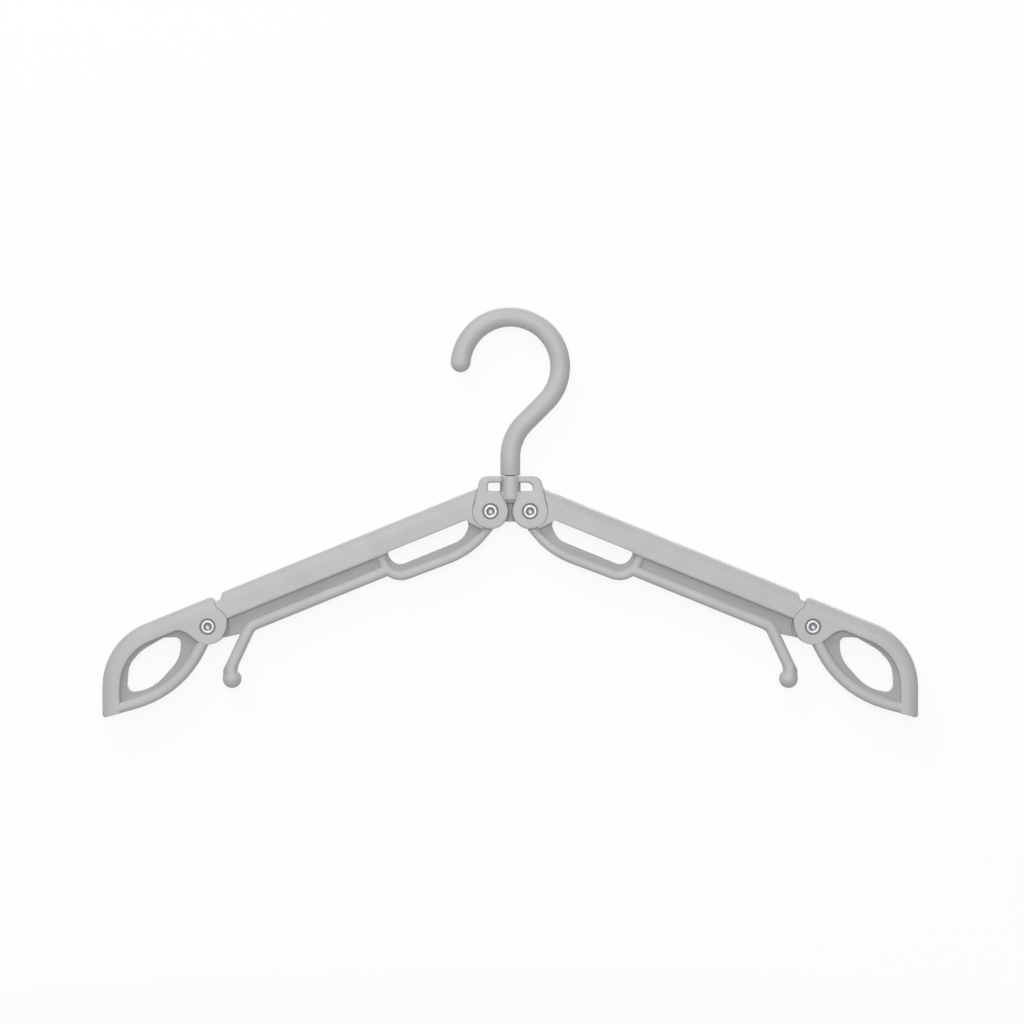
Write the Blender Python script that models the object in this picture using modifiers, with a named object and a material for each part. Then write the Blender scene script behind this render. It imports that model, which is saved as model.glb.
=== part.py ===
"""A folding clothes hanger: a swivelling hook, a hub, two folding arms and two folding tips.

Metres, +Z up, front towards -Y. The origin is the top of the hook's inside, where it hangs on a rail.
The right arm and tip are modelled in the arm's own frame, with X along the line of its two pivots.
The left ones are the same mouldings turned half round.
"""

from math import acos, atan2, ceil, cos, hypot, pi, radians, sin, tan

import bmesh
import bpy
from mathutils import Matrix, Vector

MM = 0.001

# Driving sizes of the whole hanger
BODY_DEPTH = 12.6 * MM        # front to back of the rails, ears and round plates
ARM_SPAN = 149.0 * MM         # between an arm's two pivots
ARM_SLOPE = radians(22.2)     # fall of the arms when the hanger is open
RAIL_HEIGHT = 13.0 * MM       # top of the rails over the line of the pivots
RAIL_ROUND = 6.0 * MM         # rounding along the top of the rails
EDGE_ROUND = 0.8 * MM         # rounding of the moulded edges
WEB_DEPTH = 5.4 * MM          # thickness of the recessed webs

# Joints
KNUCKLE_RADIUS = 8.7 * MM     # round plates of the hub and of the tips
KNUCKLE_GAP = 1.9 * MM        # between the hub's two round plates
TONGUE_DEPTH = 4.4 * MM       # arm's end that turns between two plates
TONGUE_RADIUS = 8.4 * MM
FIT_GAP = 0.3 * MM            # between pieces that turn inside each other
RIM_GAP = 0.15 * MM           # between a round plate's rim and the arm beside it
SLOT_GAP = 0.4 * MM           # round the edge of a tongue
NECK_ANGLE = radians(-74)     # lower end of the arm's neck between the hub's plates

# Rivets
SHANK_RADIUS = 2.2 * MM
RIVET_HEAD_RADIUS = 3.3 * MM
RIVET_HEAD_HEIGHT = 1.7 * MM
RIVET_BOWL_RADIUS = 1.9 * MM  # bowl in the middle of the rolled end
RIVET_BOWL_DEPTH = 1.1 * MM
RIVET_BOWL_ANGLES = tuple(radians(angle) for angle in (0, 24, 48, 70))
RIVET_SINK = 0.2 * MM         # head below the plate's face
RIVET_EDGE = 0.3 * MM
COUNTERBORE_GAP = 0.6 * MM    # between the head and its counterbore

# Hook
ROD_RADIUS = 4.85 * MM
HOOK_RADIUS = 24.4 * MM       # centre line of the main bend
HOOK_TIP_ANGLE = radians(175.0)
HOOK_EXIT_ANGLE = radians(45.0)
HOOK_BACK_RADIUS = 23.6 * MM  # centre line of the reverse bend
STEM_LENGTH = 9.2 * MM
STEM_CHAMFER = 0.5 * MM
HOOK_END_ANGLES = tuple(radians(angle) for angle in (80, 62, 44, 24))  # rings of the round end
SPIGOT_RADIUS = 2.6 * MM
SPIGOT_NECK = 3.6 * MM        # length of the spigot above its bulb
BULB_RADIUS = 3.2 * MM
BULB_LENGTH = 3.2 * MM
BULB_CHAMFER = 1.1 * MM

# Hub
HUB_HEAD = 17.3 * MM          # top of the hub over its pivots
EAR_REACH = 5.0 * MM          # ear's outer side beyond the pivot, at the top
EAR_ROUND = 4.2 * MM
HUB_BAR = 3.2 * MM            # top bar over the windows
HUB_WINDOW_HEIGHT = 4.2 * MM
HUB_WINDOW_WIDTH = 6.0 * MM
HUB_WINDOW_ROUND = 1.2 * MM
HUB_WINDOW_TOP_ROUND = (1.2 * MM, 3.2 * MM)  # left and right window
FLUSH_ANGLES = (radians(-62), radians(10))  # a plate's rim isn't rounded here, beside the arm
PLATE_NECK_ANGLE = radians(-215)  # where a round plate runs up into the column's side
COLUMN_RADIUS = 5.05 * MM
EAR_ROOT = 4.0 * MM           # ears and bar start this far from the middle, inside the column
COLUMN_FOOT = 4.0 * MM        # column's end over the pivots
COLUMN_TAPER = 2.0 * MM
SPINE_FRONT = 0.8 * MM        # wall between the two tongues: its front before the middle
SPINE_BACK = 5.1 * MM         # and its back behind it
SPINE_DROP = 5.0 * MM         # its lower edge below the pivots
SPINE_WIDTH = 6.4 * MM
SILL_DEPTH = 7.0 * MM         # wall between the windows and the slots
SILL_DROP = 0.2 * MM          # its top below the window's lower edge
SOCKET_GAP = 0.6 * MM         # above and below the hook's bulb

# Arm
RAIL_NOTCH_DEPTH = 2.9 * MM   # step at the outer end of the rail
RAIL_NOTCH_LENGTH = 3.0 * MM
RAIL_NOTCH_SLOPE = 2.2 * MM
HORN_LENGTH = 12.8 * MM       # rail's lower edge meets the horn this far from the pivot
HORN_DROP = 6.4 * MM          # tip of the horn below the line of the pivots
HORN_OUT = 7.2 * MM
BEAD_DROP = 10.3 * MM         # bottom of the lower bead below the line of the pivots
BEAD_WIDTH = 5.6 * MM
BEAD_DEPTH = 8.4 * MM
BEAD_ROUND_SHARE = 0.8        # rounding of a bead's profile, of half its width
LOOP_LENGTH = 60.3 * MM       # outer end of the loop from the hub pivot
LOOP_DROP = 16.3 * MM         # bottom of the loop below the line of the pivots
LOOP_WIDTH = 4.7 * MM
LOOP_DEPTH = 8.0 * MM
LOOP_FRONT_ROUND = 40.0 * MM
LOOP_END_ROUND = 9.0 * MM
LOOP_FRONT = 17.0 * MM        # corner of the loop's outline nearest the hub
LOOP_START = 2.8 * MM         # the loop's bead leaves the hub's plate here
LOOP_END_DROP = 12.9 * MM     # corner of its centre line at the outer end
WINDOW_START = 12.2 * MM
WINDOW_END = 54.3 * MM
WINDOW_RISE = 0.6 * MM        # window's top over the rail's lower side
WINDOW_DROP = 7.6 * MM
WINDOW_LOW_START = 17.8 * MM
WINDOW_ROUND = 6.0 * MM
WINDOW_LOW_ROUND = 9.6 * MM
WINDOW_HIP = 2.5 * MM
WINDOW_CORNER = 1.0 * MM
RAIL_INSET = 3.0 * MM         # how far webs and beads run into the rail

# Strap claw
CLAW_BEND = 19.1 * MM         # bead turns down this far short of the outer pivot
CLAW_BEND_ROUND = 6.0 * MM
CLAW_KNEE = 2.4 * MM          # claw turns towards its ball this far short of it
CLAW_KNEE_DROP = 22.9 * MM
CLAW_KNEE_ROUND = 7.0 * MM
CLAW_END = 1.1 * MM           # centre of the ball end, short of the outer pivot
CLAW_DROP = 27.9 * MM
BALL_RADIUS = 4.65 * MM
CLAW_SWELL = (                # where the claw widens: short of the outer pivot, drop, radius
    (6.6 * MM, 18.6 * MM, 2.5 * MM), (1.9 * MM, 23.7 * MM, 3.4 * MM), (1.1 * MM, 27.9 * MM, 4.5 * MM),
)
FLANGE_DROP = 7.8 * MM        # web's lower edge between the claw and the tip
FLANGE_FALL = 9.1 * MM
FLANGE_END = 5.0 * MM         # its two ends, short of the outer pivot
FLANGE_REACH = 12.7 * MM

# Tip, with the arm's slope taken off: level and plumb distances from the outer pivot
TIP_REACH = 51.8 * MM
TIP_DROP = 44.7 * MM
TIP_SHOULDER_ROUND = 33.0 * MM
TIP_CORNER_ROUND = 1.6 * MM
TIP_CROWN_ROUND = 1.8 * MM    # upper corner next to the arm
TIP_END = 7.5 * MM            # flat end next to the arm's rail, from the pivot
TIP_CHEEK_RADIUS = 10.1 * MM  # round seam below it, about the pivot
TIP_CHEEK_ROUND = 12.0 * MM
TIP_CHEEK_ANGLE = radians(228)  # the cheek's edge meets the round plate
TIP_RIM = 9.0 * MM            # width of the rim
TIP_BEAD_WIDTH = 5.4 * MM
TIP_BEAD_DEPTH = 12.3 * MM
TIP_BELLY_ROUND = 52.0 * MM
TIP_FLARE_ROUND = 9.0 * MM
TIP_FLARE_ANGLE = radians(-30)  # where the flare leaves the round plate
TIP_TRIM_ANGLE = radians(-66)   # where the lower bead leaves it
WEB_CORNER_SHARE = 0.2

# Outlines as shares of the tip's reach and drop (level, plumb) and of its reach (radius)
TIP_BELLY_SHARES = (0.253, -0.761)
TIP_BEAD_START_SHARES = (-0.020, -0.150)
TIP_WINDOW_SHARES = (
    (0.262, -0.115, 0.05), (0.420, -0.118, 0.10), (0.640, -0.268, 0.34), (0.754, -0.425, 0.20),
    (0.774, -0.722, 0.09), (0.530, -0.690, 0.50), (0.250, -0.330, 0.30),
)

# Modelling
OVERRUN = 1.0 * MM            # how far a cutter runs past what it cuts
SLIVER = 0.02 * MM            # a trimming face stays this far off the face it follows
CHORD_ERROR = 0.06 * MM       # how far a rounding's straight pieces leave the true arc
WELD = 0.001 * MM
ROD_RESOLUTION = 6
TURNED_STEPS = 24
BALL_RINGS = 12

PLASTIC = {"colour": (0.50, 0.49, 0.475, 1.0), "roughness": 0.45, "metallic": 0.0}
STEEL = {"colour": (0.72, 0.71, 0.69, 1.0), "roughness": 0.25, "metallic": 1.0}


def rounded(corners, closed=True):
    """Points along straight lines whose corners (x, y, radius) are rounded."""
    count = len(corners)
    rows = [(Vector(row[:2]), row[2]) for row in corners]
    reach, turns = [], []
    for index, (point, radius) in enumerate(rows):
        if not closed and index in (0, count - 1):
            reach.append(0)
            turns.append(0)
            continue
        into = (point - rows[index - 1][0]).normalized()
        out = (rows[(index + 1) % count][0] - point).normalized()
        turn = atan2(into.x * out.y - into.y * out.x, into.dot(out))
        turns.append(turn)
        reach.append(radius * tan(abs(turn) / 2))
    points = []
    for index, (point, radius) in enumerate(rows):
        before, after = index - 1, (index + 1) % count
        length = reach[index]
        if not length:
            points.append(point)
            continue
        for other in (before, after):
            room = (rows[other][0] - point).length
            length = min(length, room * reach[index] / (reach[index] + reach[other]))
        radius = length / tan(abs(turns[index]) / 2)
        into = (point - rows[before][0]).normalized()
        side = Vector((-into.y, into.x)) * (1 if turns[index] > 0 else -1)
        centre = point - into * length + side * radius
        steps = max(2, ceil(abs(turns[index]) / (2 * acos(max(0, 1 - CHORD_ERROR / radius)))))
        for step in range(steps + 1):
            turned = Matrix.Rotation(turns[index] * step / steps, 2)
            points.append(centre + turned @ (-side * radius))
    return points


def arc(radius, start, end, centre=(0, 0)):
    """Points along an arc, from one angle to another."""
    steps = ceil(abs(end - start) / (2 * acos(1 - CHORD_ERROR / radius)))
    angles = [start + (end - start) * step / steps for step in range(steps + 1)]
    return [Vector((centre[0] + radius * cos(a), centre[1] + radius * sin(a))) for a in angles]


def turned(points, angle):
    """The same points turned about the origin."""
    turn = Matrix.Rotation(angle, 2)
    return [turn @ Vector(point[:2]) for point in points]


def mirrored(points):
    """The same points on the other side of the middle, in the order that keeps the outline's sense."""
    return [Vector((-point[0], point[1])) for point in reversed(points)]


def shape_curve(points, closed):
    """A flat curve object through the points."""
    curve = bpy.data.curves.new("shape", "CURVE")
    curve.dimensions = "2D"
    spline = curve.splines.new("POLY")
    spline.points.add(len(points) - 1)
    for spot, point in zip(spline.points, points):
        spot.co = (point[0], point[1], 0, 1)
    spline.use_cyclic_u = closed
    shape = bpy.data.objects.new("shape", curve)
    cutters.objects.link(shape)
    return shape


def baked(shape, stand=True):
    """The evaluated object as a welded mesh object, stood up from the floor plane on request."""
    graph = bpy.context.evaluated_depsgraph_get()
    mesh = bpy.data.meshes.new_from_object(shape.evaluated_get(graph))
    form = bmesh.new()
    form.from_mesh(mesh)
    bmesh.ops.remove_doubles(form, verts=form.verts, dist=WELD)
    bmesh.ops.dissolve_degenerate(form, edges=form.edges, dist=WELD)
    form.transform(shape.matrix_world)
    if stand:
        form.transform(Matrix.Rotation(pi / 2, 4, "X"))
    form.to_mesh(mesh)
    form.free()
    bpy.data.objects.remove(shape, do_unlink=True)
    piece = bpy.data.objects.new("solid", mesh)
    cutters.objects.link(piece)
    return piece


def plate(points, depth, edge=0, middle=0):
    """A flat outline made solid, standing in XZ, with its edges rounded."""
    shape = shape_curve(points, True)
    shape.data.fill_mode = "BOTH"
    shape.data.extrude = depth / 2 - edge
    shape.data.bevel_depth = edge
    shape.data.bevel_resolution = 1
    shape.data.offset = -edge
    piece = baked(shape)
    piece.data.transform(Matrix.Translation((0, middle, 0)))
    return piece


def swept(path, profile):
    """A profile carried along a path standing in XZ; the profile's X points to the path's right."""
    guide = shape_curve(profile[::-1], True)
    shape = shape_curve(path, False)
    shape.data.fill_mode = "NONE"
    shape.data.bevel_mode = "OBJECT"
    shape.data.bevel_object = guide
    shape.data.use_fill_caps = True
    piece = baked(shape)
    bpy.data.objects.remove(guide, do_unlink=True)
    return piece


def pin(x, z, radius, start, end):
    """A cylinder along Y between two depths."""
    form = bmesh.new()
    bmesh.ops.create_cone(form, cap_ends=True, segments=TURNED_STEPS * 2, radius1=radius,
                          radius2=radius, depth=end - start)
    form.transform(Matrix.Translation((x, (start + end) / 2, z)) @ Matrix.Rotation(pi / 2, 4, "X"))
    mesh = bpy.data.meshes.new("pin")
    form.to_mesh(mesh)
    form.free()
    piece = bpy.data.objects.new("pin", mesh)
    cutters.objects.link(piece)
    return piece


def turning(profile):
    """A profile (radius, height), outer side from top to bottom, turned about Z."""
    mesh = bpy.data.meshes.new("turned")
    edges = [(index, index + 1) for index in range(len(profile) - 1)]
    mesh.from_pydata([(radius, 0, height) for radius, height in profile], edges, [])
    piece = bpy.data.objects.new("turned", mesh)
    cutters.objects.link(piece)
    screw = piece.modifiers.new("turn", "SCREW")
    screw.steps = screw.render_steps = TURNED_STEPS
    screw.use_merge_vertices = True
    screw.merge_threshold = WELD
    return baked(piece, stand=False)


def combine(base, others, operation):
    """The base with the other solids joined to it or cut from it."""
    for other in others:
        boolean = base.modifiers.new(operation.lower(), "BOOLEAN")
        boolean.operation = operation
        boolean.object = other
    result = baked(base, stand=False)
    for other in others:
        bpy.data.objects.remove(other, do_unlink=True)
    return result


def triangulated(piece):
    """The piece with its large flat faces split, which the thin groove's cut needs to come out closed."""
    form = bmesh.new()
    form.from_mesh(piece.data)
    bmesh.ops.triangulate(form, faces=form.faces)
    form.to_mesh(piece.data)
    form.free()
    return piece


def finish(piece, name, finish_of, smooth=radians(32)):
    """Names a piece, gives it its own material and shades its round sides smooth."""
    piece.name = piece.data.name = name
    material = bpy.data.materials.new(name + "_finish")
    material.use_nodes = True
    shader = material.node_tree.nodes["Principled BSDF"]
    shader.inputs["Base Color"].default_value = finish_of["colour"]
    shader.inputs["Roughness"].default_value = finish_of["roughness"]
    shader.inputs["Metallic"].default_value = finish_of["metallic"]
    material.diffuse_color = finish_of["colour"]
    piece.data.materials.append(material)
    piece.data.shade_smooth()
    piece.data.set_sharp_from_angle(angle=smooth)
    cutters.objects.unlink(piece)
    hanger.objects.link(piece)
    return piece


def copy_of(piece, name):
    """Another object on the same moulding."""
    twin = piece.copy()
    twin.name = name
    hanger.objects.link(twin)
    return twin


def profile_block(width, depth, outer_round, inner_round):
    """A rounded block profile: X from the outer side inwards, Y from front to back."""
    half = depth / 2
    return rounded([(0, -half, outer_round), (width, -half, inner_round),
                    (width, half, inner_round), (0, half, outer_round)])


def profile_bead(width, depth):
    """A bead's profile about its centre line."""
    side, half = width / 2, depth / 2
    corner = side * BEAD_ROUND_SHARE
    return rounded([(-side, -half, corner), (side, -half, corner), (side, half, corner),
                    (-side, half, corner)])


# Places that follow from the sizes above
PIVOT_X = KNUCKLE_RADIUS + KNUCKLE_GAP / 2
SLOT_RADIUS = TONGUE_RADIUS + SLOT_GAP
SLOT_DEPTH = TONGUE_DEPTH + 2 * FIT_GAP
HOLE_RADIUS = SHANK_RADIUS + FIT_GAP
COUNTERBORE_RADIUS = RIVET_HEAD_RADIUS + COUNTERBORE_GAP
COUNTERBORE_DEPTH = RIVET_SINK + RIVET_HEAD_HEIGHT + FIT_GAP
HOOK_DIAGONAL = (HOOK_RADIUS * cos(HOOK_EXIT_ANGLE)
                 - HOOK_BACK_RADIUS * (1 - cos(HOOK_EXIT_ANGLE))) / cos(HOOK_EXIT_ANGLE)
HOOK_CENTRE_Z = ROD_RADIUS - HOOK_RADIUS
STEM_TOP_Z = HOOK_CENTRE_Z - sin(HOOK_EXIT_ANGLE) * (HOOK_RADIUS + HOOK_DIAGONAL + HOOK_BACK_RADIUS)
HUB_TOP_Z = STEM_TOP_Z - STEM_LENGTH
PIVOT_Z = HUB_TOP_Z - HUB_HEAD
OUTER_PIVOT = (PIVOT_X + ARM_SPAN * cos(ARM_SLOPE), PIVOT_Z - ARM_SPAN * sin(ARM_SLOPE))
EAR_NORMAL = (atan2(HUB_HEAD, EAR_REACH)
              - acos(KNUCKLE_RADIUS / hypot(HUB_HEAD, EAR_REACH)))
CUT_DEPTH = BODY_DEPTH + 2 * OVERRUN


def rod(rows):
    """A round rod through points standing in XZ, with a radius at each."""
    shape = shape_curve([point for point, radius in rows], False)
    for spot, (point, radius) in zip(shape.data.splines[0].points, rows):
        spot.radius = radius / ROD_RADIUS
    shape.data.bevel_depth = ROD_RADIUS
    shape.data.bevel_resolution = ROD_RESOLUTION
    shape.data.use_fill_caps = True
    shape.data.fill_mode = "NONE"
    return baked(shape)


def make_hook():
    """The hook: a bent rod with a rounded end, and a spigot with a snap bulb under its stem."""
    main = arc(HOOK_RADIUS, HOOK_TIP_ANGLE, -HOOK_EXIT_ANGLE, (0, HOOK_CENTRE_Z))
    back_centre = (HOOK_BACK_RADIUS, STEM_TOP_Z)
    back = arc(HOOK_BACK_RADIUS, pi - HOOK_EXIT_ANGLE, pi, back_centre)
    outward = Vector((sin(HOOK_TIP_ANGLE), -cos(HOOK_TIP_ANGLE))) * -1
    rows = []
    for turn in HOOK_END_ANGLES:
        rows.append((main[0] + outward * ROD_RADIUS * sin(turn), ROD_RADIUS * cos(turn)))
    rows += [(point, ROD_RADIUS) for point in main + back]
    seat = HUB_TOP_Z + FIT_GAP
    neck_end = HUB_TOP_Z - SPIGOT_NECK
    turned_end = [
        (seat + STEM_CHAMFER, ROD_RADIUS), (seat, ROD_RADIUS - STEM_CHAMFER),
        (seat - SLIVER, SPIGOT_RADIUS), (neck_end, SPIGOT_RADIUS),
        (neck_end - (BULB_RADIUS - SPIGOT_RADIUS), BULB_RADIUS),
        (neck_end - BULB_LENGTH + BULB_CHAMFER, BULB_RADIUS),
        (neck_end - BULB_LENGTH, BULB_RADIUS - BULB_CHAMFER),
    ]
    rows += [(Vector((0, height)), radius) for height, radius in turned_end]
    return finish(rod(rows), "hook", PLASTIC)


def hub_side(window_round):
    """The outline of one ear with its round plate, about the middle of the hub, pivots at height 0."""
    window_top = HUB_HEAD - HUB_BAR
    window_floor = window_top - HUB_WINDOW_HEIGHT
    window_side = COLUMN_RADIUS + HUB_WINDOW_WIDTH
    top = rounded([(EAR_ROOT, HUB_HEAD, EDGE_ROUND), (PIVOT_X + EAR_REACH, HUB_HEAD, EAR_ROUND),
                   (PIVOT_X + KNUCKLE_RADIUS * cos(EAR_NORMAL), KNUCKLE_RADIUS * sin(EAR_NORMAL), 0)],
                  closed=False)
    disc = arc(KNUCKLE_RADIUS, EAR_NORMAL, PLATE_NECK_ANGLE, (PIVOT_X, 0))
    window = rounded([(disc[-1].x, disc[-1].y, 0),
                      (COLUMN_RADIUS, window_floor, 0),
                      (window_side, window_floor, HUB_WINDOW_ROUND),
                      (window_side, window_top, window_round),
                      (EAR_ROOT, window_top, 0)], closed=False)
    return top[:-1] + disc + window[1:]


def make_hub():
    """The hub: a column, a top bar, two ears with windows, and plates either side of two tongues."""
    left, right = [hub_side(window_round) for window_round in HUB_WINDOW_TOP_ROUND]
    blocks = [plate(mirrored(left), BODY_DEPTH, EDGE_ROUND), plate(right, BODY_DEPTH, EDGE_ROUND)]
    flush = arc(KNUCKLE_RADIUS - SLIVER, *FLUSH_ANGLES, (PIVOT_X, 0)) + [Vector((PIVOT_X, 0))]
    blocks += [plate(outline, BODY_DEPTH - 2 * SLIVER) for outline in (flush, mirrored(flush))]
    column = turning([(0, HUB_HEAD), (COLUMN_RADIUS - STEM_CHAMFER, HUB_HEAD),
                      (COLUMN_RADIUS, HUB_HEAD - STEM_CHAMFER),
                      (COLUMN_RADIUS, COLUMN_FOOT + COLUMN_TAPER),
                      (COLUMN_RADIUS - COLUMN_TAPER, COLUMN_FOOT), (0, COLUMN_FOOT)])
    half = SPINE_WIDTH / 2
    floor_top = HUB_HEAD - HUB_BAR - HUB_WINDOW_HEIGHT
    spine = plate([(-half, -SPINE_DROP), (half, -SPINE_DROP), (half, COLUMN_FOOT + COLUMN_TAPER),
                   (-half, COLUMN_FOOT + COLUMN_TAPER)], SPINE_FRONT + SPINE_BACK,
                   middle=(SPINE_BACK - SPINE_FRONT) / 2)
    sill = plate([(-PIVOT_X, SLOT_RADIUS - OVERRUN), (PIVOT_X, SLOT_RADIUS - OVERRUN),
                  (PIVOT_X, floor_top - SILL_DROP), (-PIVOT_X, floor_top - SILL_DROP)],
                 SILL_DEPTH)
    hub = combine(column, blocks + [spine, sill], "UNION")
    chamber_top = HUB_HEAD - SPIGOT_NECK + SOCKET_GAP
    chamber_end = HUB_HEAD - SPIGOT_NECK - BULB_LENGTH - SOCKET_GAP
    throat = SPIGOT_RADIUS + FIT_GAP
    chamber = BULB_RADIUS + FIT_GAP
    socket = turning([(0, HUB_HEAD + OVERRUN), (throat, HUB_HEAD + OVERRUN), (throat, chamber_top),
                      (chamber, chamber_top - (chamber - throat)), (chamber, chamber_end + BULB_CHAMFER),
                      (chamber - BULB_CHAMFER, chamber_end), (0, chamber_end)])
    half_slot = SLOT_DEPTH / 2
    cuts = [socket]
    for x in (PIVOT_X, -PIVOT_X):
        cuts.append(pin(x, 0, SLOT_RADIUS, -half_slot, half_slot))
        cuts += rivet_seat(x)
    hub = combine(hub, cuts, "DIFFERENCE")
    hub.location = (0, 0, PIVOT_Z)
    return finish(hub, "hub", PLASTIC)


def hub_clearance():
    """Everything of the arm that the hub's ear and its spine need clear, in the arm's frame."""
    radius = KNUCKLE_RADIUS + RIM_GAP
    foot = Vector((radius * cos(EAR_NORMAL), radius * sin(EAR_NORMAL)))
    up = Vector((-sin(EAR_NORMAL), cos(EAR_NORMAL)))
    far = HUB_HEAD + RAIL_HEIGHT
    top = foot + up * far
    points = turned([(0, 0), foot, top, (-far, top.y), (-far, -far)], ARM_SLOPE)
    return points + [Vector((cos(NECK_ANGLE), sin(NECK_ANGLE))) * far]


def loop_path():
    """The centre line of the loop's bead, from under the hub's plate to the rail."""
    half = LOOP_WIDTH / 2
    end = LOOP_LENGTH - half
    return rounded([(LOOP_START, half - KNUCKLE_RADIUS, 0),
                    (LOOP_FRONT, half - LOOP_DROP, LOOP_FRONT_ROUND),
                    (end, -LOOP_END_DROP, LOOP_END_ROUND), (end, RAIL_INSET, 0)], closed=False)


def bead_path():
    """The centre line of the lower bead and of the claw that it turns into."""
    level = -BEAD_DROP + BEAD_WIDTH / 2
    return rounded([(LOOP_LENGTH - LOOP_WIDTH / 2, level, 0),
                    (ARM_SPAN - CLAW_BEND, level, CLAW_BEND_ROUND),
                    (ARM_SPAN - CLAW_KNEE, -CLAW_KNEE_DROP, CLAW_KNEE_ROUND),
                    (ARM_SPAN - CLAW_END, -CLAW_DROP, 0)], closed=False)


def make_arm():
    """An arm in its own frame: hub pivot at the origin, outer pivot along X."""
    rail_end = ARM_SPAN - TIP_END - RIM_GAP
    rail = swept([(0, RAIL_HEIGHT), (rail_end, RAIL_HEIGHT)],
                 profile_block(RAIL_HEIGHT, BODY_DEPTH, RAIL_ROUND, EDGE_ROUND))
    horn = plate(rounded([(RAIL_INSET, RAIL_INSET, 0), (HORN_LENGTH + RAIL_INSET, RAIL_INSET, 0),
                          (HORN_LENGTH, 0, RAIL_INSET), (HORN_OUT, -HORN_DROP, 0),
                          (RAIL_INSET, -HORN_DROP, 0)]), BODY_DEPTH - 2 * SLIVER)
    loop = loop_path()
    level = -BEAD_DROP + BEAD_WIDTH / 2
    loop_start = loop[0].lerp(loop[1], WEB_CORNER_SHARE)
    neck = [(LOOP_WIDTH, RAIL_INSET), (LOOP_WIDTH / 2, -RAIL_INSET), loop_start]
    web = plate(neck + loop[1:-1]
                + [(LOOP_LENGTH, level), (ARM_SPAN - CLAW_BEND, level),
                   (ARM_SPAN - FLANGE_REACH, -FLANGE_FALL), (ARM_SPAN - FLANGE_END, -FLANGE_DROP),
                   (ARM_SPAN, FIT_GAP), (rail_end - FIT_GAP, FIT_GAP),
                   (rail_end - RAIL_INSET, RAIL_INSET)],
                WEB_DEPTH)
    beads = [swept(loop, profile_bead(LOOP_WIDTH, LOOP_DEPTH)),
             swept(bead_path(), profile_bead(BEAD_WIDTH, BEAD_DEPTH))]
    body = combine(rail, [horn, web, ball_end(), claw_swell()] + beads, "UNION")

    window = plate(rounded([(WINDOW_START, WINDOW_RISE, WINDOW_CORNER),
                            (WINDOW_END, WINDOW_RISE, WINDOW_CORNER),
                            (WINDOW_END, -WINDOW_DROP, WINDOW_ROUND),
                            (WINDOW_LOW_START, -WINDOW_DROP, WINDOW_LOW_ROUND),
                            (WINDOW_START, -WINDOW_HIP, WINDOW_ROUND)]), CUT_DEPTH)
    notch_floor = RAIL_HEIGHT - RAIL_NOTCH_DEPTH
    notch_wall = rail_end - RAIL_NOTCH_LENGTH
    notch = plate([(rail_end + OVERRUN, notch_floor), (notch_wall, notch_floor),
                   (notch_wall - RAIL_NOTCH_SLOPE, RAIL_HEIGHT + SLIVER),
                   (rail_end + OVERRUN, RAIL_HEIGHT + OVERRUN)], CUT_DEPTH)
    body = combine(body, [plate(hub_clearance(), CUT_DEPTH), window, notch], "DIFFERENCE")

    half_tongue, half_cut = TONGUE_DEPTH / 2, CUT_DEPTH / 2
    blank_end = half_tongue + OVERRUN
    blanks = [pin(x, 0, TONGUE_RADIUS, -blank_end, blank_end) for x in (0, ARM_SPAN)]
    body = combine(body, blanks, "UNION")

    layer = half_cut - half_tongue
    middle = half_tongue + layer / 2
    cuts = []
    for side in (-1, 1):
        for x, radius in ((0, KNUCKLE_RADIUS), (ARM_SPAN, TIP_CHEEK_RADIUS)):
            ring = arc(radius + RIM_GAP, 0, 2 * pi, (x, 0))[1:]
            cuts.append(plate(ring, layer, middle=side * middle))
    cuts += [pin(x, 0, HOLE_RADIUS, -half_cut, half_cut) for x in (0, ARM_SPAN)]
    return combine(triangulated(body), cuts, "DIFFERENCE")


def claw_swell():
    """The rod that widens the claw's outer side towards its ball."""
    return rod([(Vector((ARM_SPAN - short, -drop)), radius) for short, drop, radius in CLAW_SWELL])


def ball_end():
    """The ball at the end of the strap claw."""
    form = bmesh.new()
    bmesh.ops.create_uvsphere(form, u_segments=2 * BALL_RINGS, v_segments=BALL_RINGS, radius=BALL_RADIUS)
    form.transform(Matrix.Translation((ARM_SPAN - CLAW_END, 0, -CLAW_DROP)))
    mesh = bpy.data.meshes.new("ball")
    form.to_mesh(mesh)
    form.free()
    piece = bpy.data.objects.new("ball", mesh)
    cutters.objects.link(piece)
    return piece


def inset(points, distance):
    """The corners of an open line moved to its right by a distance."""
    spots = [Vector(point[:2]) for point in points]
    ways = [(end - start).normalized() for start, end in zip(spots, spots[1:])]
    rights = [Vector((way.y, -way.x)) for way in ways]
    moved = [spots[0] + rights[0] * distance]
    for spot, before, after in zip(spots[1:], rights, rights[1:]):
        moved.append(spot + (before + after) * distance / (1 + before.dot(after)))
    moved.append(spots[-1] + rights[-1] * distance)
    return moved


def with_rounds(points, rounds):
    """Corners (x, y, radius) from points and their radii."""
    return [(point.x, point.y, radius) for point, radius in zip(points, rounds)]


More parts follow.
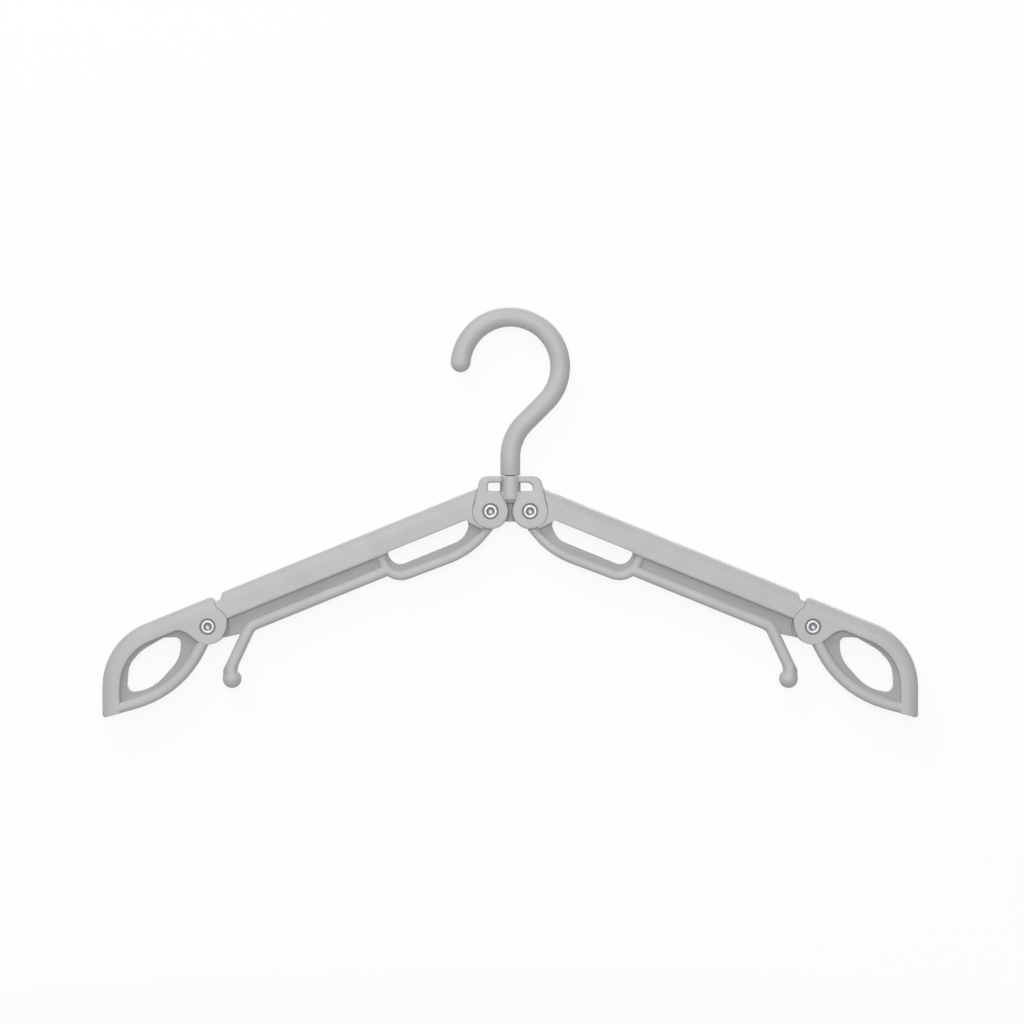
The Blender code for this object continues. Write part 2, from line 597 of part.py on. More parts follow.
def make_tip():
    """A tip in the arm's frame, with the outer pivot at the origin."""
    shoulder_drop = (TIP_REACH * sin(ARM_SLOPE) - RAIL_HEIGHT) / cos(ARM_SLOPE)
    shoulder, corner, belly, start = turned(
        [(TIP_REACH, -shoulder_drop), (TIP_REACH, -TIP_DROP),
         (TIP_BELLY_SHARES[0] * TIP_REACH, TIP_BELLY_SHARES[1] * TIP_DROP),
         (TIP_BEAD_START_SHARES[0] * TIP_REACH, TIP_BEAD_START_SHARES[1] * TIP_DROP)], ARM_SLOPE)
    past = -TIP_CHEEK_RADIUS - OVERRUN
    rim_end = corner + (corner - shoulder).normalized() * TIP_RIM
    rim_corners = [Vector((past, RAIL_HEIGHT)), shoulder, rim_end]
    rim_path = rounded(with_rounds(rim_corners, (0, TIP_SHOULDER_ROUND, 0)), closed=False)
    rim = swept(rim_path, profile_block(TIP_RIM, BODY_DEPTH, RAIL_ROUND, EDGE_ROUND))

    half_bead = TIP_BEAD_WIDTH / 2
    bead_corners = inset([corner, belly, start], half_bead)
    bead_corners[0] += (belly - corner).normalized() * (RAIL_ROUND + EDGE_ROUND)
    bead_path = rounded(with_rounds(bead_corners, (0, TIP_BELLY_ROUND - half_bead, 0)), closed=False)
    bead = swept(bead_path, profile_bead(TIP_BEAD_WIDTH, TIP_BEAD_DEPTH))

    web_top = inset(rim_corners, TIP_RIM / 2)
    web_top = rounded(with_rounds(web_top, (0, TIP_SHOULDER_ROUND - TIP_RIM / 2, 0)), closed=False)
    web_top[-1] = corner.lerp(shoulder, WEB_CORNER_SHARE) + (web_top[-1] - rim_end)
    web_top[0].x = 0
    web_end = bead_path[-1].lerp(bead_path[-2], WEB_CORNER_SHARE)
    web = plate(web_top + bead_path[1:-1] + [web_end], WEB_DEPTH)

    flare = Vector((cos(TIP_FLARE_ANGLE), sin(TIP_FLARE_ANGLE)))
    leave = flare * KNUCKLE_RADIUS
    along = Vector((-flare.y, flare.x))
    rim_edge = RAIL_HEIGHT - TIP_RIM + EDGE_ROUND + SLIVER
    meet = leave + along * (rim_edge - leave.y) / along.y
    rail_face = RAIL_HEIGHT - RAIL_ROUND - EDGE_ROUND
    past -= OVERRUN
    flared = rounded([(leave.x, leave.y, 0), (meet.x, meet.y, TIP_FLARE_ROUND),
                      (meet.x + TIP_RIM, rim_edge, 0), (meet.x + TIP_RIM, rail_face, 0),
                      (past, rail_face, 0), (past, past, 0), (-past * cos(TIP_TRIM_ANGLE), past, 0)],
                     closed=False)
    knuckle = plate(arc(KNUCKLE_RADIUS, TIP_TRIM_ANGLE, TIP_FLARE_ANGLE) + flared[1:],
                    BODY_DEPTH - 2 * SLIVER)
    tip = combine(rim, [bead, web, knuckle], "UNION")

    grown = inset([start, belly, corner, shoulder, Vector((-TIP_END, RAIL_HEIGHT))], SLIVER)
    way = (grown[0] - grown[1]).normalized()
    nearest = grown[0] - way * grown[0].dot(way)
    grown[0] = nearest - way * (KNUCKLE_RADIUS ** 2 - nearest.length_squared) ** (1 / 2)
    rounds = (0, TIP_BELLY_ROUND, TIP_CORNER_ROUND, TIP_SHOULDER_ROUND, TIP_CROWN_ROUND)
    seam_turn = acos(-TIP_END / TIP_CHEEK_RADIUS)
    seam_top = TIP_CHEEK_RADIUS * sin(seam_turn)
    trim = rounded(with_rounds(grown, rounds) + [(-TIP_END, seam_top, 0)], closed=False)
    trim += arc(TIP_CHEEK_RADIUS, seam_turn, pi)[1:-1] + cheek_edge()
    trim += arc(KNUCKLE_RADIUS, TIP_CHEEK_ANGLE, 2 * pi + atan2(grown[0].y, grown[0].x))[1:-1]
    tip = combine(tip, [plate(trim, CUT_DEPTH)], "INTERSECT")

    window_corners = turned([(level * TIP_REACH, plumb * TIP_DROP)
                             for level, plumb, radius in TIP_WINDOW_SHARES], ARM_SLOPE)
    window_rounds = [row[2] * TIP_REACH for row in TIP_WINDOW_SHARES]
    window = plate(rounded(with_rounds(window_corners, window_rounds)), CUT_DEPTH)
    half_slot = SLOT_DEPTH / 2
    inner, past = FIT_GAP - TIP_END, past - OVERRUN
    mouth = plate([(inner, RAIL_HEIGHT - RAIL_NOTCH_DEPTH), (past, RAIL_HEIGHT - RAIL_NOTCH_DEPTH),
                   (past, past), (inner / 2, past), (inner / 2, 0), (inner, 0)], SLOT_DEPTH)
    cuts = [window, pin(0, 0, SLOT_RADIUS, -half_slot, half_slot), mouth]
    cuts += rivet_seat(0)
    return combine(tip, cuts, "DIFFERENCE")


def cheek_edge():
    """The upright edge of a tip's cheek, from the rail's lower side to the round plate."""
    turn = TIP_CHEEK_ANGLE
    fall = (KNUCKLE_RADIUS + TIP_CHEEK_RADIUS * cos(turn)) / sin(ARM_SLOPE - turn)
    bend = Vector((fall * sin(ARM_SLOPE) - TIP_CHEEK_RADIUS, -fall * cos(ARM_SLOPE)))
    foot = Vector((cos(turn), sin(turn))) * KNUCKLE_RADIUS
    return rounded([(-TIP_CHEEK_RADIUS, 0, 0), (bend.x, bend.y, TIP_CHEEK_ROUND), (foot.x, foot.y, 0)],
                   closed=False)


def rivet_seat(x):
    """Cutters for a rivet's hole and its two counterbores."""
    half_body = BODY_DEPTH / 2
    floor, past = half_body - COUNTERBORE_DEPTH, half_body + OVERRUN
    return [pin(x, 0, HOLE_RADIUS, -past, past), pin(x, 0, COUNTERBORE_RADIUS, -past, -floor),
            pin(x, 0, COUNTERBORE_RADIUS, floor, past)]


def make_rivet():
    """A hollow rivet along Y, its rolled end at the front."""
    top = BODY_DEPTH / 2 - RIVET_SINK
    under = top - RIVET_HEAD_HEIGHT
    crest = (RIVET_BOWL_RADIUS + RIVET_HEAD_RADIUS) / 2
    bowl = [(RIVET_BOWL_RADIUS * sin(turn), top - RIVET_EDGE - RIVET_BOWL_DEPTH * cos(turn))
            for turn in RIVET_BOWL_ANGLES]
    rivet = turning(bowl + [
        (crest - RIVET_EDGE, top), (crest + RIVET_EDGE, top), (RIVET_HEAD_RADIUS, top - RIVET_EDGE),
        (RIVET_HEAD_RADIUS, under),
        (SHANK_RADIUS, under), (SHANK_RADIUS, -under), (RIVET_HEAD_RADIUS, -under),
        (RIVET_HEAD_RADIUS, RIVET_EDGE - top), (crest, -top), (0, -top)])
    rivet.data.transform(Matrix.Rotation(pi / 2, 4, "X"))
    return rivet


def place(piece, spot, slope=0, flipped=False):
    """Puts a piece on its pivot, sloped with the arm and turned half round for the left side."""
    side = -1 if flipped else 1
    piece.location = (side * spot[0], 0, spot[1])
    piece.rotation_euler = (0, slope, pi if flipped else 0)


def build():
    """Every piece of the open hanger."""
    make_hook()
    make_hub()
    inner_pivot = (PIVOT_X, PIVOT_Z)
    arm = finish(make_arm(), "right_arm", PLASTIC)
    tip = finish(make_tip(), "right_tip", PLASTIC)
    place(arm, inner_pivot, ARM_SLOPE)
    place(tip, OUTER_PIVOT, ARM_SLOPE)
    place(copy_of(arm, "left_arm"), inner_pivot, ARM_SLOPE, flipped=True)
    place(copy_of(tip, "left_tip"), OUTER_PIVOT, ARM_SLOPE, flipped=True)
    rivet = finish(make_rivet(), "right_hub_rivet", STEEL)
    place(rivet, inner_pivot)
    place(copy_of(rivet, "right_tip_rivet"), OUTER_PIVOT)
    for name, spot in (("left_hub_rivet", inner_pivot), ("left_tip_rivet", OUTER_PIVOT)):
        place(copy_of(rivet, name), (-spot[0], spot[1]))


for item in list(bpy.data.objects):
    bpy.data.objects.remove(item, do_unlink=True)
hanger = bpy.data.collections.new("folding_hanger")
cutters = bpy.data.collections.new("cutters")
bpy.context.scene.collection.children.link(hanger)
bpy.context.scene.collection.children.link(cutters)
cutters.hide_render = True
build()
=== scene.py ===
# %% [markdown]
# # A folding clothes hanger
# The photograph shows a hanger in light warm-grey plastic. A seam under the hook says that it swivels in the
# hub, two shoulder arms fold down from the hub, and a frame-shaped tip folds at the end of each arm. Bright
# metal rivets hold the joints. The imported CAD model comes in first. It says where every piece is, and nothing
# here moves it. Each piece made below takes the place of one CAD node and rides on the same body.
# The model's halves are alike. They follow the photograph's left half, and its right half lies a few pixels
# higher.

from math import ceil, cos, log2, pi, radians, sin

import bmesh
import bpy
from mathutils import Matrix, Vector
from mathutils.bvhtree import BVHTree


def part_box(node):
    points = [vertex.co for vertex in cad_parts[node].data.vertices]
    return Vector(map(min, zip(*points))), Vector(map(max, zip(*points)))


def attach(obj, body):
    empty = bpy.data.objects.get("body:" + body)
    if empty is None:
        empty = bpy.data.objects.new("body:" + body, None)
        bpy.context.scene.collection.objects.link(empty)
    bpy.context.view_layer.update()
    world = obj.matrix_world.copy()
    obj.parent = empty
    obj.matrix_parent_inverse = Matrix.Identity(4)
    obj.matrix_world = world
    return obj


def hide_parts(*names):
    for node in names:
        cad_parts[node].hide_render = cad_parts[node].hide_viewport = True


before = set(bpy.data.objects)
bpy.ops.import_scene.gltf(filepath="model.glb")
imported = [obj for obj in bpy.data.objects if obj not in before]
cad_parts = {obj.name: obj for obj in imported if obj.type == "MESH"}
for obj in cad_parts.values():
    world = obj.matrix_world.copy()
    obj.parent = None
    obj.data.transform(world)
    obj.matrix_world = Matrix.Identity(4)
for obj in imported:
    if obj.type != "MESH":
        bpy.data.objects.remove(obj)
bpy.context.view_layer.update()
MM = 0.001

# %% [markdown]
# ## Colours and nodes
# A colour is written as the hex value that a screen shows. Blender's shaders work in linear light, so one
# function turns it over. Another adds a shader node with its settings, its values and its links, because a
# material is easier to read as a list of nodes than as a picture of wires.

# %% Two helpers for materials


def linear(hex_colour):
    """A hex sRGB colour as linear red, green, blue and an alpha of 1."""
    channels = [int(hex_colour[start:start + 2], 16) / 255 for start in (1, 3, 5)]
    return [c / 12.92 if c <= 0.04045 else ((c + 0.055) / 1.055) ** 2.4 for c in channels] + [1.0]


def add(tree, kind, values=None, links=None, **settings):
    """One new node: settings are its own options, values its inputs, links the outputs that feed it."""
    made = tree.nodes.new(kind)
    for name, value in settings.items():
        setattr(made, name, value)
    for name, value in (values or {}).items():
        made.inputs[name].default_value = value
    for name, source in (links or {}).items():
        tree.links.new(source, made.inputs[name])
    return made


print("light grey in linear light:", [round(value, 3) for value in linear("#BEBEBC")])

# %% [markdown]
# ## Injection-moulded polypropylene
# The body is taken to be polypropylene from a spark-eroded steel tool, a usual choice for such a hanger,
# though one photograph can't prove it. The photograph shows an even satin face and webs that look darker
# than the rails and beads beside them. Whether their plastic differs or only lies in shade, it doesn't say:
# here they have a darker colour, chosen by eye. Here the webs get a darker colour: painted shade for their
# deep recess between the rails and the beads. A very fine grain, a faint cloudiness where the melt flows,
# slightly glossier worn places and a hair-thin parting line are added, because moulded plastic has them.
# Such a grain is typically near 0.05 mm. It is drawn four times coarser, or it wouldn't show at all.

# %% The plastic
GRAIN = 0.2 * MM              # spark-eroded texture, drawn coarser than a typical 0.05 mm
CLOUD = 14.0 * MM             # size of the flow clouds in the colour
HANDLING = 30.0 * MM          # size of the places polished by use
PARTING_LINE = 0.12 * MM      # half the width of the line between the tool's halves
WEB_FACE = 2.7 * MM           # webs lie this far from the middle; the painted shade on the webs is full up to here
RAISED_FACE = 3.6 * MM        # raised faces lie at least this far from it; the painted shade on the webs has faded out here
PARTING_HEIGHT = 0.05 * MM    # height of the parting line's ridge
GRAIN_HEIGHT = 0.02 * MM      # depth of the spark-eroded texture
WORN_ROUGHNESS = 0.40         # where hands polished it
MOULDED_ROUGHNESS = 0.52      # as it left the tool


def moulded_polypropylene(name, hex_colour, hex_web_shade):
    """Satin plastic with spark-eroded grain, flow clouds, a parting line at mid depth and painted shade on its
    webs.
    """
    material = bpy.data.materials.new(name)
    material.use_nodes = True
    tree = material.node_tree
    shader = tree.nodes["Principled BSDF"]
    shader.inputs["IOR"].default_value = 1.49
    shader.inputs["Specular IOR Level"].default_value = 0.4
    spot = add(tree, "ShaderNodeTexCoord")
    place = spot.outputs["Object"]
    cloud = add(tree, "ShaderNodeTexNoise", {"Scale": 1 / CLOUD, "Detail": 3.0}, {"Vector": place})
    speck = add(tree, "ShaderNodeTexNoise", {"Scale": 1 / (4 * GRAIN), "Detail": 2.0}, {"Vector": place})
    both = add(tree, "ShaderNodeMix", {"Factor": 0.35},
               {"A": cloud.outputs["Fac"], "B": speck.outputs["Fac"]})
    base = linear(hex_colour)
    ramp = add(tree, "ShaderNodeValToRGB", links={"Fac": both.outputs["Result"]})
    for stop, position, share in zip(ramp.color_ramp.elements, (0.3, 0.7), (0.955, 1.045)):
        stop.position = position
        stop.color = [value * share for value in base[:3]] + [1.0]

    axes = add(tree, "ShaderNodeSeparateXYZ", links={"Vector": place})
    depth = add(tree, "ShaderNodeMath", links={0: axes.outputs["Y"]}, operation="ABSOLUTE")
    # painted shade: faces at the depth of the webs that face front or back get the darker colour of the
    # recessed webs
    low = add(tree, "ShaderNodeMapRange",
              {"From Min": WEB_FACE, "From Max": RAISED_FACE, "To Min": 1.0, "To Max": 0.0},
              {"Value": depth.outputs["Value"]}, interpolation_type="SMOOTHSTEP")
    facing = add(tree, "ShaderNodeSeparateXYZ", links={"Vector": spot.outputs["Normal"]})
    flat = add(tree, "ShaderNodeMath", links={0: facing.outputs["Y"]}, operation="ABSOLUTE")
    broad = add(tree, "ShaderNodeMapRange", {"From Min": 0.6, "From Max": 0.95},
                {"Value": flat.outputs["Value"]}, interpolation_type="SMOOTHSTEP")
    web_shade = add(tree, "ShaderNodeMath", links={0: low.outputs["Result"], 1: broad.outputs["Result"]},
              operation="MULTIPLY")
    colour = add(tree, "ShaderNodeMix", {7: linear(hex_web_shade)},
                 {0: web_shade.outputs["Value"], 6: ramp.outputs["Color"]}, data_type="RGBA")
    tree.links.new(colour.outputs[2], shader.inputs["Base Color"])

    worn = add(tree, "ShaderNodeTexNoise", {"Scale": 1 / HANDLING, "Detail": 4.0}, {"Vector": place})
    gloss = add(tree, "ShaderNodeMapRange",
                {"From Min": 0.35, "From Max": 0.65, "To Min": WORN_ROUGHNESS, "To Max": MOULDED_ROUGHNESS},
                {"Value": worn.outputs["Fac"]})
    tree.links.new(gloss.outputs["Result"], shader.inputs["Roughness"])
    grain = add(tree, "ShaderNodeTexNoise", {"Scale": 1 / GRAIN, "Detail": 3.0, "Roughness": 0.6},
                {"Vector": place})
    line = add(tree, "ShaderNodeMapRange",
               {"From Min": 0.0, "From Max": PARTING_LINE, "To Min": 1.0, "To Max": 0.0},
               {"Value": depth.outputs["Value"]}, interpolation_type="SMOOTHSTEP")
    ridge = add(tree, "ShaderNodeBump", {"Strength": 0.35, "Distance": PARTING_HEIGHT},
                {"Height": line.outputs["Result"]})
    bump = add(tree, "ShaderNodeBump", {"Strength": 0.30, "Distance": GRAIN_HEIGHT},
               {"Height": grain.outputs["Fac"], "Normal": ridge.outputs["Normal"]})
    tree.links.new(bump.outputs["Normal"], shader.inputs["Normal"])
    return material


# the third colour is painted shade for the recessed webs
warm_grey = moulded_polypropylene("polypropylene_warm_grey", "#BEBEBC", "#A5A5A3")
print("made", warm_grey.name)

# %% [markdown]
# ## Nickel-plated steel
# The rivets are taken to be nickel-plated steel pins, with a front end spun out into a ring round a bowl. In
# the photograph the ring is bright and the bowl darker, so the bowl's wall has a darker colour here: painted
# shade for the hollow. The tool's fine rings are added. Metal keeps Blender's own IOR.

# %% The metal
BOWL_SHADE_START = 0.5 * MM         # the painted shade on the bowl's wall begins at this radius
BOWL_SHADE_END = 1.85 * MM          # and reaches out to this one, where the ring begins
TOOL_RING = 0.25 * MM         # spacing of the rolling tool's rings, drawn coarser than a typical 0.08 mm
RING_HEIGHT = 0.02 * MM       # height of those rings
BRIGHT_ROUGHNESS = 0.36       # clean plating
STAINED_ROUGHNESS = 0.50      # stained plating


def nickel_plated_steel(name, hex_bright, hex_bowl_shade):
    """Bright plated metal turned round its own Y axis, with painted shade inside the bowl of its front end."""
    material = bpy.data.materials.new(name)
    material.use_nodes = True
    tree = material.node_tree
    shader = tree.nodes["Principled BSDF"]
    shader.inputs["Metallic"].default_value = 1.0
    place = add(tree, "ShaderNodeTexCoord").outputs["Object"]

    height = add(tree, "ShaderNodeSeparateXYZ", links={0: place}).outputs["Y"]
    across = add(tree, "ShaderNodeVectorMath", {1: (1, 0, 1)}, {0: place}, operation="MULTIPLY")
    radius = add(tree, "ShaderNodeVectorMath", links={0: across.outputs["Vector"]}, operation="LENGTH")
    # painted shade: the wall of the bowl in the front end gets the darker second colour
    inner = add(tree, "ShaderNodeMapRange", {"From Min": BOWL_SHADE_START, "From Max": 2 * BOWL_SHADE_START},
                {"Value": radius.outputs["Value"]})
    outer = add(tree, "ShaderNodeMapRange", {"From Min": BOWL_SHADE_END, "From Max": BOWL_SHADE_END - BOWL_SHADE_START / 2},
                {"Value": radius.outputs["Value"]})
    front = add(tree, "ShaderNodeMath", {1: 0.0}, {0: height}, operation="LESS_THAN")
    band = add(tree, "ShaderNodeMath", links={0: inner.outputs["Result"], 1: outer.outputs["Result"]},
               operation="MULTIPLY")
    bowl_shade = add(tree, "ShaderNodeMath", links={0: band.outputs["Value"], 1: front.outputs["Value"]},
               operation="MULTIPLY")
    tint = add(tree, "ShaderNodeMix", {6: linear(hex_bright), 7: linear(hex_bowl_shade)},
               {0: bowl_shade.outputs["Value"]}, data_type="RGBA")
    tree.links.new(tint.outputs[2], shader.inputs["Base Color"])

    rings = add(tree, "ShaderNodeTexWave", {"Scale": 1 / (20 * TOOL_RING), "Distortion": 0.4, "Detail": 1.0},
                {"Vector": place}, wave_type="RINGS", rings_direction="Y")
    stain = add(tree, "ShaderNodeTexNoise", {"Scale": 1 / (6 * TOOL_RING), "Detail": 3.0},
                {"Vector": place})
    gloss = add(tree, "ShaderNodeMapRange",
                {"From Min": 0.3, "From Max": 0.7, "To Min": BRIGHT_ROUGHNESS, "To Max": STAINED_ROUGHNESS},
                {"Value": stain.outputs["Fac"]})
    tree.links.new(gloss.outputs["Result"], shader.inputs["Roughness"])
    bump = add(tree, "ShaderNodeBump", {"Strength": 0.25, "Distance": RING_HEIGHT},
               {"Height": rings.outputs["Fac"]})
    tree.links.new(bump.outputs["Normal"], shader.inputs["Normal"])
    return material


# the second colour is painted shade for the bowl's wall
nickel = nickel_plated_steel("nickel_plated_steel", "#A6A6A8", "#909094")
print("made", nickel.name)

# %% [markdown]
# ## The mouldings: hub, arms and tips
# A moulding has no sharp edge anywhere: the tool's corners are rounded so that the melt flows, and the part
# lets go of the tool. The CAD solids have the sizes but crisp creases where their shapes join. Rounding each
# crease by hand would take hundreds of bevels. Instead each solid is copied, rebuilt on a fine grid and
# smoothed, which rounds every edge outside and fills every corner inside at once, as moulding does.
# Where two mouldings lie flush side by side, the photograph shows hardly a line between them. There the
# smoothing is held back, so that the edges stay crisp and the gap stays as narrow as it is.

# %% Round the mouldings
GRID = 0.34 * MM              # finer than a pixel of the photograph
GRID_SPAN = 0.9               # share of its cube that the remesher fills with the piece
ROUNDING = 0.85 * MM          # how far the smoothing reaches from an edge
BESIDE = 0.7 * MM             # a neighbour nearer than this keeps an edge crisp
CRISP = 0.08                  # share of the smoothing left there
CLOSER = 0.035 * MM           # such an edge is drawn this much nearer to its neighbour
MERGE = 0.001 * MM            # corners nearer than this are one


def surface_tree(node):
    """The surface of a CAD node, for finding what lies near it."""
    corners = [node.matrix_world @ vertex.co for vertex in node.data.vertices]
    return BVHTree.FromPolygons(corners, [tuple(face.vertices) for face in node.data.polygons])


def near_share(point, trees):
    """The share of smoothing for a point: low where another moulding is beside it."""
    beside = any(tree.find_nearest(point, BESIDE)[0] for tree in trees)
    return CRISP if beside else 1.0


def rounded_moulding(node, body, neighbours):
    """A smooth copy of a CAD node that takes its place on the same body."""
    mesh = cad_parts[node].data.copy()
    form = bmesh.new()
    form.from_mesh(mesh)
    bmesh.ops.remove_doubles(form, verts=form.verts, dist=MERGE)
    form.to_mesh(mesh)
    form.free()
    half_depth = max(abs(vertex.co.y) for vertex in mesh.vertices)
    crude = bpy.data.objects.new(node + "_crude", mesh)
    bpy.context.scene.collection.objects.link(crude)
    grid = crude.modifiers.new("grid", "REMESH")
    grid.mode = "SHARP"
    grid.scale = GRID_SPAN
    cube = max(crude.dimensions) / GRID_SPAN
    grid.octree_depth = ceil(log2(cube / GRID))
    cell = cube / 2 ** grid.octree_depth
    grid.use_remove_disconnected = False
    graph = bpy.context.evaluated_depsgraph_get()
    crude.data = bpy.data.meshes.new_from_object(crude.evaluated_get(graph))
    crude.modifiers.remove(grid)

    trees = [surface_tree(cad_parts[other]) for other in neighbours]
    share = crude.vertex_groups.new(name="share")
    outward = [Vector((vertex.normal.x, 0.0, vertex.normal.z)) for vertex in crude.data.vertices]
    for vertex, way in zip(crude.data.vertices, outward):
        vertex.co.y = min(max(vertex.co.y, -half_depth), half_depth)
        smoothing = near_share(vertex.co, trees)
        share.add([vertex.index], smoothing, "REPLACE")
        if smoothing < 1.0:
            vertex.co += way * CLOSER
    soften = crude.modifiers.new("soften", "SMOOTH")
    soften.factor = 0.5
    soften.iterations = round((ROUNDING / cell) ** 2)
    soften.vertex_group = share.name
    graph = bpy.context.evaluated_depsgraph_get()
    smooth = bpy.data.meshes.new_from_object(crude.evaluated_get(graph))
    bpy.data.objects.remove(crude, do_unlink=True)
    smooth.materials.clear()
    smooth.materials.append(warm_grey)
    smooth.shade_smooth()
    piece = bpy.data.objects.new(node + "_moulding", smooth)
    bpy.context.scene.collection.objects.link(piece)
    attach(piece, body)
    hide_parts(node)
    return piece


BESIDE_EACH = {
    "hub": ("left_arm", "right_arm"), "left_arm": ("hub", "left_tip"), "right_arm": ("hub", "right_tip"),
    "left_tip": ("left_arm",), "right_tip": ("right_arm",),
}
for node, neighbours in BESIDE_EACH.items():
    moulding = rounded_moulding(node, node, neighbours)
    print(moulding.name, len(moulding.data.polygons), "faces")

# %% [markdown]
# ## The hook
# The hook is one moulded rod: most of a circle, a short straight, a reverse bend and a stem. A curve object
# does this in one go, with the rod's radius at every point, so that the free end closes in a half ball and
# the stem narrows into the spigot and snap bulb that turn in the hub.

# %% Sweep the rod
ROD_RADIUS = 4.85 * MM
BEND_RADIUS = 24.4 * MM       # the rod's middle round the rail
BACK_RADIUS = 23.6 * MM       # the rod's middle in the reverse bend
FREE_END = radians(175.0)     # where the round part begins
LEAVING = radians(45.0)       # where it ends, below the level
STEM = 9.2 * MM               # straight stem down to the hub
SEAM = 0.3 * MM               # gap between the stem's foot and the hub
STEP = radians(3.0)           # angle from one point of a bend to the next


def bend(radius, centre, start, end):
    """Points along an arc from one angle to another."""
    count = ceil(abs(end - start) / STEP)
    angles = [start + (end - start) * index / count for index in range(count + 1)]
    return [Vector((centre[0] + radius * cos(a), centre[1] + radius * sin(a))) for a in angles]


straight = (BEND_RADIUS * cos(LEAVING) - BACK_RADIUS * (1 - cos(LEAVING))) / cos(LEAVING)
middle = ROD_RADIUS - BEND_RADIUS
stem_top = middle - sin(LEAVING) * (BEND_RADIUS + straight + BACK_RADIUS)
stem_foot = stem_top - STEM + SEAM
main = bend(BEND_RADIUS, (0, middle), FREE_END, -LEAVING)
back = bend(BACK_RADIUS, (BACK_RADIUS, stem_top), pi - LEAVING, pi)
print("stem from", round(stem_top / MM, 1), "to", round(stem_foot / MM, 1), "mm")

# %% The rod's points and radii
ROUND_END = [radians(angle) for angle in (88, 78, 66, 54, 42, 30, 18, 8)]
FOOT_CHAMFER = 0.5 * MM
SPIGOT = 2.6 * MM             # radii of the spigot, of the bulb on it, and of the bulb's tip
BULB = 3.2 * MM
BULB_TIP = 2.1 * MM
SHOULDER = 0.05 * MM          # below the stem's foot: the flat shoulder, the spigot's end, the bulb, its tip
SPIGOT_END = 3.5 * MM
BULB_START = 4.3 * MM
BULB_END = 5.8 * MM
ROD_END = 7.0 * MM

end_way = Vector((-sin(FREE_END), cos(FREE_END)))
rows = [(main[0] + end_way * ROD_RADIUS * sin(a), ROD_RADIUS * cos(a)) for a in ROUND_END]
rows += [(point, ROD_RADIUS) for point in main + back]
for drop, radius in ((-FOOT_CHAMFER, ROD_RADIUS), (-FOOT_CHAMFER / 3, ROD_RADIUS - FOOT_CHAMFER / 3),
                     (0, ROD_RADIUS - FOOT_CHAMFER), (SHOULDER, SPIGOT), (SPIGOT_END, SPIGOT),
                     (BULB_START, BULB), (BULB_END, BULB), (ROD_END, BULB_TIP)):
    rows.append((Vector((0, stem_foot - drop)), radius))

path = bpy.data.curves.new("hook_path", "CURVE")
path.dimensions = "3D"
path.bevel_depth = ROD_RADIUS
path.bevel_resolution = 12
path.use_fill_caps = True
spline = path.splines.new("POLY")
spline.points.add(len(rows) - 1)
for spot, (point, radius) in zip(spline.points, rows):
    spot.co = (point[0], 0, point[1], 1)
    spot.radius = radius / ROD_RADIUS
swept = bpy.data.objects.new("hook_sweep", path)
bpy.context.scene.collection.objects.link(swept)
rod = bpy.data.meshes.new_from_object(swept.evaluated_get(bpy.context.evaluated_depsgraph_get()))
bpy.data.objects.remove(swept, do_unlink=True)
rod.materials.clear()
rod.materials.append(warm_grey)
rod.shade_smooth()
rod.set_sharp_from_angle(angle=radians(50))
hook = bpy.data.objects.new("hook_moulding", rod)
bpy.context.scene.collection.objects.link(hook)
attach(hook, "hook")
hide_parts("hook")
print(hook.name, len(rod.polygons), "faces")

# %% [markdown]
# ## The rivets
# Each rivet is a steel pin whose front end was spun out into a smooth ring round a bowl, and whose back is
# a low dome. A round piece like this is turned: one profile of radius and height, spun about the axis. Ring
# and bowl are drawn in many short steps, because their highlights catch the eye in the photograph.

# %% Turn the rivets
CREST = 6.1 * MM              # top of the ring in front of the middle, just under the plate's face
RING_FALL = 0.30 * MM         # how far the ring falls away to both sides of its crest
UNDER = 4.4 * MM              # underside of the heads, on the counterbores' floors
HEAD = 3.3 * MM               # radii of the head, of the bowl in it, and of the shank
BOWL = 1.85 * MM
SHANK = 2.2 * MM
BOWL_DEPTH = 1.1 * MM
EDGE = 0.25 * MM              # height of the dome at the back, and of the chamfer round it
SIDES = 64
BOWL_TURNS = [radians(angle) for angle in (0, 12, 24, 36, 48, 58, 66, 72)]
RING_TURNS = [radians(angle) for angle in range(0, 181, 15)]
DOME_TURNS = [radians(angle) for angle in (0, 12, 26, 42, 60, 78)]

ring_middle, ring_half = (HEAD + BOWL) / 2, (HEAD - BOWL) / 2
profile = [(BOWL * sin(turn), CREST - RING_FALL - BOWL_DEPTH * cos(turn)) for turn in BOWL_TURNS]
profile += [(ring_middle - ring_half * cos(turn), CREST - RING_FALL * (1 - sin(turn)))
            for turn in RING_TURNS]
profile += [(HEAD, UNDER), (SHANK, UNDER), (SHANK, -UNDER), (HEAD, -UNDER), (HEAD, 2 * EDGE - CREST)]
profile += [((HEAD - EDGE) * cos(turn), EDGE - CREST - EDGE * sin(turn)) for turn in DOME_TURNS]
profile += [(0, -CREST)]


def turned_rivet():
    """The rivet's mesh about its own middle, its rolled end towards -Y."""
    form = bmesh.new()
    spots = [form.verts.new((radius, -height, 0)) for radius, height in profile]
    for first, second in zip(spots, spots[1:]):
        form.edges.new((first, second))
    bmesh.ops.spin(form, geom=form.verts[:] + form.edges[:], cent=(0, 0, 0), axis=(0, 1, 0),
                   angle=2 * pi, steps=SIDES, use_duplicate=False)
    bmesh.ops.remove_doubles(form, verts=form.verts, dist=2 * MERGE)
    bmesh.ops.recalc_face_normals(form, faces=form.faces)
    mesh = bpy.data.meshes.new("rivet")
    form.to_mesh(mesh)
    form.free()
    mesh.materials.append(nickel)
    mesh.shade_smooth()
    mesh.set_sharp_from_angle(angle=radians(45))
    return mesh


